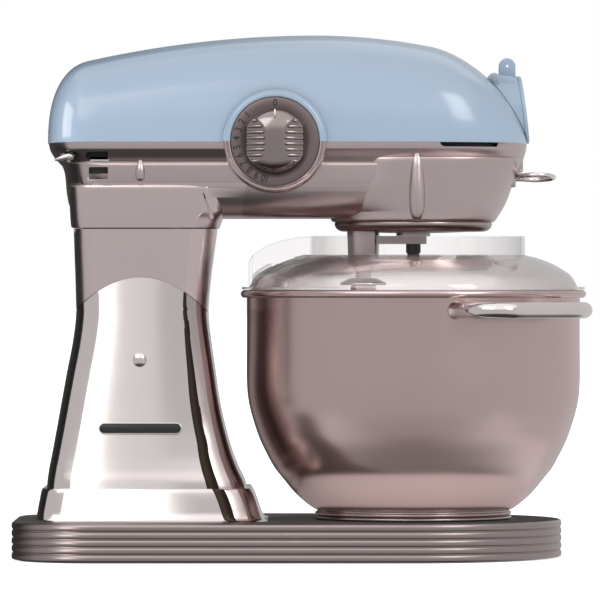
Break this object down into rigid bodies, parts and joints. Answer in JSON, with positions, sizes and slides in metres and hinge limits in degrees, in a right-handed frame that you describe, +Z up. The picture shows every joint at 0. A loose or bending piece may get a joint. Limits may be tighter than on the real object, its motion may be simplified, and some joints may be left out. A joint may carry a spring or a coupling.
{
  "type": "stand mixer",
  "caption": "Tilt-head stand mixer with a full-length base, steel bowl with loop handle, clear splash guard, side speed dial and planetary dough hook.",
  "frame": {"origin": "where the mixing hub's vertical axis meets the surface the mixer stands on", "axes": "+X towards the beater end of the head, +Z up, -Y towards the side with the speed dial"},
  "size_m": [0.4064, 0.2646, 0.3678],
  "materials": {
    "base_metal": "satin metallic",
    "steel": "machined",
    "rubber": "matte",
    "cast_alloy": "as cast",
    "black_plastic": "matte",
    "cast_rose_grey": "satin metallic",
    "polished_panel": "polished",
    "badge_black": "gloss",
    "bright_steel": "polished",
    "board": "laminate",
    "blue_enamel": "gloss",
    "dial_grey": "spun",
    "knob_metal": "satin",
    "lamination": "stacked laminations",
    "copper_wire": "enamelled",
    "brass": "machined",
    "gear_plastic": "moulded",
    "bowl_steel": "brushed",
    "clear_plastic": "clear"
  },
  "bodies": {
    "stand": {"base_casting": "base_metal", "bottom_cover": "steel", "foot_ring": "rubber", "bottom_screws": "steel", "column_bolts": "steel", "bowl_seat": "cast_alloy", "cord_gland": "black_plastic", "column": "cast_rose_grey", "column_panel": "polished_panel", "column_plinth": "polished_panel", "nameplate": "badge_black", "button_spring": "steel", "control_board": "board", "hinge_pin": "steel"},
    "button": {"column_button": "bright_steel"},
    "head": {"head_cover": "blue_enamel", "head_shell": "cast_rose_grey", "dial_plate": "dial_grey", "speed_switch": "black_plastic", "outlet_collar": "bright_steel", "flap_pin": "steel", "plunger_spring": "steel", "motor_stator": "lamination", "motor_coils": "copper_wire", "motor_frame": "cast_alloy", "motor_bearings": "steel", "brush_holders": "brass", "output_bearings": "steel", "gearbox_frame": "cast_alloy", "hub_bearings": "steel", "ring_gear": "cast_alloy", "drip_ring": "bright_steel"},
    "dial": {"speed_knob": "knob_metal"},
    "lever": {"release_lever": "bright_steel"},
    "link": {"latch_link": "steel"},
    "hook_latch": {"latch_hook": "steel"},
    "flap": {"outlet_flap": "blue_enamel"},
    "plunger": {"ring_pull": "bright_steel"},
    "rotor": {"rotor_core": "lamination", "rotor_shaft": "steel", "commutator": "copper_wire", "cooling_fan": "black_plastic", "motor_pinion": "brass"},
    "output": {"output_shaft": "steel", "output_gear": "gear_plastic", "crown_pinion": "brass"},
    "planet": {"main_shaft": "steel", "crown_gear": "gear_plastic", "planet_carrier": "cast_rose_grey", "centre_tip": "black_plastic"},
    "beater": {"planet_pinion": "brass", "beater_spindle": "bright_steel", "tool_shield": "bright_steel", "dough_hook": "bright_steel"},
    "bowl_set": {"bowl": "bowl_steel", "bowl_foot": "bowl_steel", "bowl_handle": "bright_steel"},
    "guard": {"splash_guard": "clear_plastic"}
  },
  "joints": [
    {"name": "head_tilt", "type": "hinge", "parent": "stand", "child": "head", "pos_m": [-0.236, 0, 0.2315], "axis": [0, -1, 0], "range_deg": [0, 42]},
    {"name": "speed_dial", "type": "hinge", "parent": "head", "child": "dial", "pos_m": [-0.0974, -0.067, 0.292], "axis": [0, -1, 0], "range_deg": [0, 165]},
    {"name": "release_lever_turn", "type": "hinge", "parent": "head", "child": "lever", "pos_m": [-0.24, -0.045, 0.282], "axis": [0, -1, 0], "range_deg": [0, 18]},
    {"name": "latch_link_turn", "type": "hinge", "parent": "lever", "child": "link", "pos_m": [-0.231, -0.0363, 0.286], "axis": [0, -1, 0], "range_deg": [-18, 0]},
    {"name": "latch_hook_turn", "type": "hinge", "parent": "head", "child": "hook_latch", "pos_m": [-0.166, -0.0337, 0.252], "axis": [0, -1, 0], "range_deg": [0, 18]},
    {"name": "outlet_flap_lift", "type": "hinge", "parent": "head", "child": "flap", "pos_m": [0.0567, 0, 0.3371], "axis": [0, -1, 0], "range_deg": [0, 65]},
    {"name": "ring_pull_slide", "type": "slide", "parent": "head", "child": "plunger", "axis": [1, 0, 0], "range_m": [0, 0.008], "stiffness_N_per_m": 400, "springref_m": -0.004, "deforming": ["plunger_spring"]},
    {"name": "button_press", "type": "slide", "parent": "stand", "child": "button", "axis": [0, 1, 0], "range_m": [0, 0.0016], "stiffness_N_per_m": 500, "springref_m": -0.001, "deforming": ["button_spring"]},
    {"name": "planetary_spin", "type": "hinge", "parent": "head", "child": "planet", "pos_m": [0, 0, 0.25], "axis": [0, 0, 1], "continuous": true},
    {"name": "beater_spin", "type": "hinge", "parent": "planet", "child": "beater", "pos_m": [-0.03525, 0, 0.24], "axis": [0, 0, 1], "continuous": true},
    {"name": "output_spin", "type": "hinge", "parent": "head", "child": "output", "pos_m": [0, 0, 0.313], "axis": [1, 0, 0], "continuous": true},
    {"name": "motor_spin", "type": "hinge", "parent": "head", "child": "rotor", "pos_m": [-0.17, 0, 0.279], "axis": [1, 0, 0], "continuous": true},
    {"name": "bowl_twist", "type": "hinge", "parent": "stand", "child": "bowl_set", "pos_m": [0, 0, 0.03], "axis": [0, 0, 1], "range_deg": [0, 25]},
    {"name": "guard_turn", "type": "hinge", "parent": "bowl_set", "child": "guard", "pos_m": [0, 0, 0.19], "axis": [0, 0, 1], "range_deg": [-170, 170]}
  ],
  "couplings": [
    {"joint": "latch_link_turn", "follows": "release_lever_turn", "ratio": -1},
    {"joint": "latch_hook_turn", "follows": "release_lever_turn", "ratio": 1},
    {"joint": "beater_spin", "follows": "planetary_spin", "ratio": -4.6154},
    {"joint": "output_spin", "follows": "planetary_spin", "ratio": -3},
    {"joint": "motor_spin", "follows": "planetary_spin", "ratio": 14}
  ]
}
